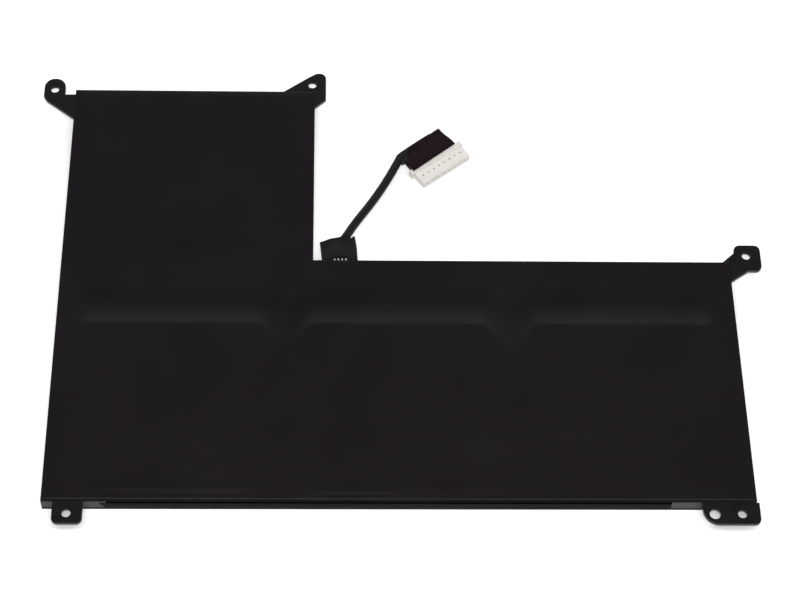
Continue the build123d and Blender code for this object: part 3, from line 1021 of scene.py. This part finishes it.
@dataclass
class FrontRail(RoundedCopy):
    """The strip along the front, drawn back a little into the shade of the film's edge."""

    set_back: float = 1.2

    def shape(self, copy: bpy.types.Object) -> None:
        """Moves the strip's front face back.

        Args:
            copy: The cleaned copy of the strip.
        """
        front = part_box(self.node)[0].y
        reach = self.set_back * MM
        reshape(copy, lambda spot: Vector((spot.x, max(spot.y, front + reach), spot.z)))


@dataclass
class RowCell(RoundedCopy):
    """A pouch cell of the row, with a sloped front and back corners that suit the valleys in the film."""

    film: TopFilm = field(kw_only=True)
    corner_run: float = 30.0
    shoulder: float = 10.0
    shoulder_level: float = 3.0

    def shape(self, copy: bpy.types.Object) -> None:
        """Draws the back corners forward as far as the film's valleys reach, and slopes the front.

        Args:
            copy: The cleaned copy of the cell.
        """
        film = self.film

        def rounded(spot: Vector) -> Vector:
            """Puts one point of the cell under the film.

            Args:
                spot: The point on the plain cell.

            Returns:
                Its new place.
            """
            u, v, z = (spot - film.place.corner) / MM
            share = film.valley(u) * ramp((v - film.crest + self.corner_run) / self.corner_run)
            if z > self.shoulder_level:
                v = max(v, self.shoulder)
            return film.place.point(u, v - film.valley_reach * share, z)

        reshape(copy, rounded)


@dataclass
class BoardLeads(RoundedCopy):
    """The wires from the board, drawn a little closer and to the left where they enter the tape."""

    gather: float = 0.913
    shift: float = -0.5

    def shape(self, copy: bpy.types.Object) -> None:
        """Slants the wires towards each other.

        Args:
            copy: The cleaned copy of the wires.
        """
        low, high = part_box(self.node)
        middle = (low.x + high.x) / 2

        def gathered(spot: Vector) -> Vector:
            """Puts one point of a wire nearer to the others.

            Args:
                spot: The point on the straight wire.

            Returns:
                Its new place.
            """
            share = ramp((spot.y - low.y) / (high.y - low.y))
            across = (spot.x - middle) * mix(1.0, self.gather, share)
            return Vector((middle + across + self.shift * MM * share, spot.y, spot.z))

        reshape(copy, gathered)


@dataclass
class ConnectorShell(RoundedCopy):
    """The connector's housing: its flange level with its body, and small holes at the cavities' mouths."""

    turn: float = 37.0
    body_height: float = 3.2
    pitch: float = 2.5
    ways: int = 8
    window_depth: Span = (2.8, 3.6)
    mouth_share: float = 0.5
    window_share: float = 0.6
    near: float = 0.05
    margin: float = 0.1
    closed: float = 0.005

    def shape(self, copy: bpy.types.Object) -> None:
        """Lowers the flange to the body's top, draws the holes in and clears the faces that close up.

        Args:
            copy: The cleaned copy of the housing.
        """
        low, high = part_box("connector_contacts")
        middle = (low + high) / 2
        turn = Matrix.Rotation(math.radians(self.turn), 3, "Z")
        places = [turn.inverted() @ (corner.co - middle) for corner in copy.data.vertices]
        front = min(place.y for place in places) / MM
        window_front = self.window_depth[0] - self.margin
        window_back = self.window_depth[1] + self.margin

        def fitted(spot: Vector) -> Vector:
            """Puts one corner of the housing in its new place.

            Args:
                spot: The corner of the plain housing.

            Returns:
                Its new place.
            """
            local = (turn.inverted() @ (spot - middle)) / MM
            height = spot.z / MM
            way = round(local.x / self.pitch + (self.ways - 1) / 2)
            axis = (min(max(way, 0), self.ways - 1) - (self.ways - 1) / 2) * self.pitch
            inside = local.y - front
            at_top = abs(height - self.body_height) < self.near
            if inside < self.near and self.margin < height < self.body_height - self.margin:
                local.x = mix(axis, local.x, self.mouth_share)
                local.z *= self.mouth_share
            elif at_top and window_front < inside < window_back:
                half = sum(self.window_depth) / 2 + front
                local.x = mix(axis, local.x, self.window_share)
                local.y = mix(half, local.y, self.window_share)
            moved = middle + turn @ (local * MM)
            return Vector((moved.x, moved.y, min(moved.z, self.body_height * MM)))

        reshape(copy, fitted)
        start_editing(copy, "VERT", "SELECT")
        bpy.ops.mesh.remove_doubles(threshold=self.closed * MM)
        bpy.ops.mesh.dissolve_degenerate(threshold=self.closed * MM)
        bpy.ops.mesh.dissolve_limited(angle_limit=math.radians(self.flat_angle))
        stop_editing()


@dataclass
class Cable:
    """The taped cable from the pack to the connector, which is a cord."""

    wire_level: float = 3.7
    diameter: float = 3.1
    length: float = 40.0

    def way_out(self) -> Vector:
        """Where the wires enter the root tape, in metres."""
        low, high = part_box("board_leads")
        return Vector(((low.x + high.x) / 2, high.y, 0))

    def route(self) -> list[Vector]:
        """The cable's route, as the part's source has it but in metres.

        Returns:
            The points, which are chosen from the wires' way out.
        """
        points = [
            (0.0017, 0.0099, 0.00178),
            (0.0024, 0.0111, 0.00175),
            (0.0056, 0.0169, 0.00160),
            (0.0123, 0.0268, 0.00160),
            (0.0176, 0.0362, 0.00160),
            (0.0222, 0.0458, 0.00160),
            (0.0227, 0.0469, 0.00160),
        ]
        return [self.way_out() + Vector(point) for point in points]

    def build(self) -> bpy.types.Object:
        """Models the cable as one smooth line with a round section.

        Returns:
            The cable.
        """
        curve = bpy.data.curves.new("taped_cable", "CURVE")
        curve.dimensions = "3D"
        spline = curve.splines.new("NURBS")
        route = self.route()
        spline.points.add(len(route) - 1)
        for point, spot in zip(spline.points, route):
            point.co = (*spot, 1)
        spline.order_u = 3
        spline.use_endpoint_u = True
        spline.resolution_u = 12
        curve.bevel_depth = self.diameter / 2 * MM
        curve.bevel_resolution = 8
        curve.use_fill_caps = True
        cable = new_object("taped_cable", curve)
        dress(cable, CABLE_WRAP)
        hand_over(cable, "wire", "cable")
        return cable


@dataclass
class RootTape:
    """Black cloth tape folded over the wires where they leave the pack."""

    place: PackPlace
    near_left: Spot = (93.9, 98.6)
    near_right: Spot = (106.9, 98.6)
    far_left: Spot = (93.1, 107.5)
    far_right: Spot = (105.9, 110.2)
    near_level: float = 3.75
    far_level: float = 1.75
    half_sheet: float = 0.25
    wires_swell: float = 0.45
    bundle_swell: float = 1.55
    arch: float = 1.1
    arch_span: Span = (0.30, 0.74)
    arch_ease: float = 0.06
    notch: float = 0.08
    notch_middle: float = 0.88
    notch_width: float = 0.05
    notch_run: float = 0.2
    far_bow: float = 0.8
    bow_rise: float = 0.35
    bow_end: float = 0.86
    bow_fall: float = 0.5
    side_bow: float = 0.2
    ridge_middle: Span = (0.50, 0.73)
    ridge_half: Span = (0.42, 0.15)
    floor: float = 0.03

    def build(self) -> bpy.types.Object:
        """Models the tape.

        Returns:
            The folded tape, swollen over the wires.
        """
        tape = unit_block("root_tape_fold", across=52, along=36)
        reshape(tape, self.spot)
        smooth(tape)
        dress(tape, ROOT_TAPE)
        hand_over(tape, "tape", "root_tape")
        return tape

    def spot(self, unit: Vector) -> Vector:
        """Where a point of the unit block lies on the tape.

        Args:
            unit: The block's point: across, along, and 0 or 1 for the lower or upper face.

        Returns:
            The point in the row frame.
        """
        across, along = unit.x, unit.y
        near = Vector(self.near_left).lerp(Vector(self.near_right), across)
        start, end = self.arch_span
        near.y += self.arch * ramp((across - start) / self.arch_ease) * ramp((end - across) / self.arch_ease)
        far = Vector(self.far_left).lerp(Vector(self.far_right), across)
        slit = math.exp(-((across - self.notch_middle) / self.notch_width) ** 2)
        notch = self.notch * slit * ramp((along - 1 + self.notch_run) / self.notch_run)
        flat = near.lerp(far, along - notch)
        right_half = ramp(2 * across - 1)
        flat.x += self.side_bow * math.sin(math.pi * along) * right_half
        bow = ramp(across / self.bow_rise) * ramp((self.bow_end - across) / self.bow_fall)
        flat.y += self.far_bow * along * along * bow
        middle = mix(*self.ridge_middle, ramp(along))
        half = mix(*self.ridge_half, ramp(along))
        ridge = math.exp(-((across - middle) / half) ** 2)
        thick = self.half_sheet + ridge * mix(self.wires_swell, self.bundle_swell, along * along)
        level = mix(self.near_level, self.far_level, ramp(along))
        z = level + thick if unit.z > 0.5 else max(self.floor, level - thick)
        return self.place.point(flat.x, flat.y, z)


@dataclass
class TailTape:
    """Black cloth tape round the wires where they turn and spread to the connector."""

    place: PackPlace
    lower: Spot = (128.0, 138.75)
    inner: Spot = (124.8, 143.6)
    neck_right: Spot = (123.8, 143.6)
    neck_left: Spot = (121.4, 146.3)
    upper: Spot = (137.9, 160.3)
    right: Spot = (143.85, 151.6)
    bundle: tuple[Spot, Spot, Spot] = ((122.6, 145.0), (125.2, 149.4), (134.0, 153.6))
    bundle_radius: float = 1.62
    spread_radius: float = 4.2
    top: float = 2.45
    bundle_top: float = 3.2
    fold_radius: float = 1.2
    floor: float = 0.03
    lap: float = 0.10
    lap_ease: float = 0.8
    lap_top: float = 3.42
    lap_sheet: float = 0.18
    neck: float = 0.29
    neck_start: float = 0.4
    end_shares: tuple[float, ...] = (0.0, 0.52, 0.62, 1.0)
    fold_end: float = 0.6
    length: float = 20.0
    depth: float = 9.4
    bundle_steps: int = 24

    def build(self) -> bpy.types.Object:
        """Models the tape.

        Returns:
            The folded tape, with the cable's end under it.
        """
        tape = unit_block("tail_tape_fold", across=64, along=40)
        necks = [self.on_neck(face.center) for face in tape.data.polygons]
        reshape(tape, self.spot)
        smooth(tape)
        dress(tape, CLOTH_TAPE)
        tape.data.materials.append(bpy.data.materials[CABLE_WRAP.name])
        tape.data.polygons.foreach_set("material_index", np.array(necks, np.int32))
        hand_over(tape, "tape", "tail_tape")
        return tape

    def on_neck(self, unit: Vector) -> bool:
        """Whether a point of the unit block belongs to the cable's own wrap, which ends in the tape."""
        return unit.x < self.neck * (unit.y - self.neck_start) / (1 - self.neck_start)

    def near_end(self, away: float) -> Vector:
        """A point of the end where the cable comes in.

        Args:
            away: 0 at the connector and 1 at the far edge.

        Returns:
            The point, on three straight stretches.
        """
        stops = [self.lower, self.inner, self.neck_right, self.neck_left]
        spans = zip(stops, stops[1:], self.end_shares, self.end_shares[1:])
        for first, second, start, end in spans:
            if away <= end:
                return Vector(first).lerp(Vector(second), (away - start) / (end - start))
        return Vector(self.neck_left)

    def on_bundle(self, flat: Vector) -> float:
        """The height of the wires' bundle under the tape, or 0 beside it.

        Args:
            flat: The point, seen from above.

        Returns:
            The level of the bundle's top there.
        """
        best = 0.0
        first, bend, last = (Vector(stop) for stop in self.bundle)
        for step in range(self.bundle_steps + 1):
            share = step / self.bundle_steps
            middle = first.lerp(bend, share).lerp(bend.lerp(last, share), share)
            radius = mix(self.bundle_radius, self.spread_radius, share)
            off = (flat - middle).length / radius
            if off < 1:
                crown = mix(self.bundle_top, self.top, share)
                best = max(best, crown / 2 * (1 + math.sqrt(1 - off * off)))
        return best

    def spot(self, unit: Vector) -> Vector:
        """Where a point of the unit block lies on the tape.

        Args:
            unit: The block's point: along the connector, away from it, and 0 or 1 for the lower or
                upper face.

        Returns:
            The point in the row frame.
        """
        along, away = unit.x, unit.y
        far = Vector(self.right).lerp(Vector(self.upper), away)
        near = self.near_end(away)
        flat = near.lerp(far, along)
        from_neck = along * self.length + (self.fold_radius if away > self.fold_end else 0.0)
        from_sides = min((1 - along) * self.length, (1 - away) * self.depth)
        edge = min(from_neck, from_sides, self.fold_radius)
        fold = math.sqrt(max(0.0, 1 - (1 - edge / self.fold_radius) ** 2))
        half = self.top / 2
        if unit.z < 0.5:
            under = self.lap_top - self.lap_sheet if away < self.lap else half - half * fold
            return self.place.point(flat.x, flat.y, max(self.floor, under))
        sheet = mix(self.lap_top, half + half * fold, ramp((away - self.lap) / self.lap_ease))
        return self.place.point(flat.x, flat.y, max(sheet, self.on_bundle(flat)))


@dataclass(frozen=True)
class SoftBox:
    """A rectangular light: where it hangs, what it faces, its size in metres and its power in watts."""

    name: str
    spot: Place
    aim: Place
    size: Span
    power: float
    mirrored: bool = True

    def hang(self) -> None:
        """Hangs the light, unseen by the camera and seen in glossy faces only where it is mirrored."""
        data = bpy.data.lights.new(self.name, "AREA")
        data.shape = "RECTANGLE"
        data.size, data.size_y = self.size
        data.energy = self.power
        light = new_object(self.name, data)
        light.visible_camera = False
        light.visible_glossy = self.mirrored
        light.location = self.spot
        light.rotation_euler = (Vector(self.aim) - Vector(self.spot)).to_track_quat("-Z", "Y").to_euler()


@dataclass
class Studio:
    """Camera, pale floor and soft light."""

    place: PackPlace
    eye: Place = (97.2, -310.2, 631.5)
    pitch: float = 57.98
    yaw: float = -3.635
    roll: float = 3.373
    focal_pixels: float = 2060.5
    picture_width: float = 800.0
    sensor: float = 36.0
    near_clip: float = 0.01
    floor_size: float = 8.0
    floor_drop: float = 0.02
    surround: float = 0.06

    def set_camera(self) -> None:
        """Stands the camera where the photograph was taken from."""
        data = bpy.data.cameras.new("view")
        data.sensor_width = self.sensor
        data.lens = self.focal_pixels / self.picture_width * self.sensor
        data.clip_start = self.near_clip
        camera = new_object("view", data)
        turn = Matrix.Identity(4)
        for angle, axis in ((self.yaw, "Z"), (90 - self.pitch, "X"), (self.roll, "Z")):
            turn @= Matrix.Rotation(math.radians(angle), 4, axis)
        camera.matrix_world = Matrix.Translation(self.place.point(*self.eye)) @ turn
        bpy.context.scene.camera = camera

    def lay_floor(self) -> None:
        """Lays the pale floor just under the pack."""
        deselect_all()
        bpy.ops.mesh.primitive_plane_add(size=self.floor_size, location=(0, 0, -self.floor_drop * MM))
        floor = bpy.context.object
        floor.name = "floor"
        dress(floor, FLOOR_PAPER)

    def set_light(self) -> None:
        """Hangs soft boxes in front, beside the camera and behind, in a dim even surround."""
        scene = bpy.context.scene
        scene.view_settings.view_transform = "Standard"
        world = bpy.data.worlds.new("surround")
        world.use_nodes = True
        background = world.node_tree.nodes["Background"]
        background.inputs["Color"].default_value = (1, 1, 1, 1)
        background.inputs["Strength"].default_value = self.surround
        scene.world = world
        for lamp in self.soft_boxes():
            lamp.hang()

    def soft_boxes(self) -> list[SoftBox]:
        """The lights, in metres in the row frame.

        Returns:
            The four soft boxes.
        """
        return [
            SoftBox("front", (0, -0.1, 0.3), aim=(0, -0.1, 0), size=(0.6, 0.12), power=0.85, mirrored=False),
            SoftBox("camera_side", (0, -0.8, 1.4), aim=(0, 0, 0), size=(1.2, 0.5), power=8.0),
            SoftBox("low", (0, 1.6, 0.34), aim=(0, 0, 0), size=(3.2, 0.35), power=52.0, mirrored=False),
            SoftBox("behind", (0, 1.6, 1.05), aim=(0, 0, 0), size=(3.2, 0.5), power=6.5),
        ]


def dress_nodes() -> None:
    """Gives each CAD node that stays in place its finish."""
    for node, finish in NODE_FINISHES.items():
        dress(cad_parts[node], finish)


def main() -> None:
    """Builds the view, then each sub-assembly."""
    logging.basicConfig(level=logging.INFO, format="%(message)s")
    place = PackPlace(Vector((*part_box("top_film")[0].xy, 0)))
    studio = Studio(place)
    studio.set_camera()
    studio.lay_floor()
    studio.set_light()

    cable = Cable()
    cord = cable.build()
    tapes = [RootTape(place).build(), TailTape(place).build()]
    housing = ConnectorShell("connector_housing", "connector_shell", "connector", NYLON, edge=0.12).build()

    RoundedCopy("left_frame", "left_moulding", "frame", MOULDED_BLACK).build()
    RoundedCopy("right_frame", "right_moulding", "frame", MOULDED_BLACK).build()
    FrontRail("front_rail", "front_strip", "frame", MOULDED_BLACK).build()
    BoardLeads("board_leads", "gathered_wires", "wire", WIRE_SLEEVE, edge=0.05).build()
    film = TopFilm(place)
    for side in ("left", "middle", "right"):
        RowCell(f"cell_row_{side}", f"{side}_pouch", "cell", POUCH, edge=0.05, film=film).build()
    film.build()
    BottomFilm(place).build()
    dress_nodes()


if __name__ == "__main__":
    main()
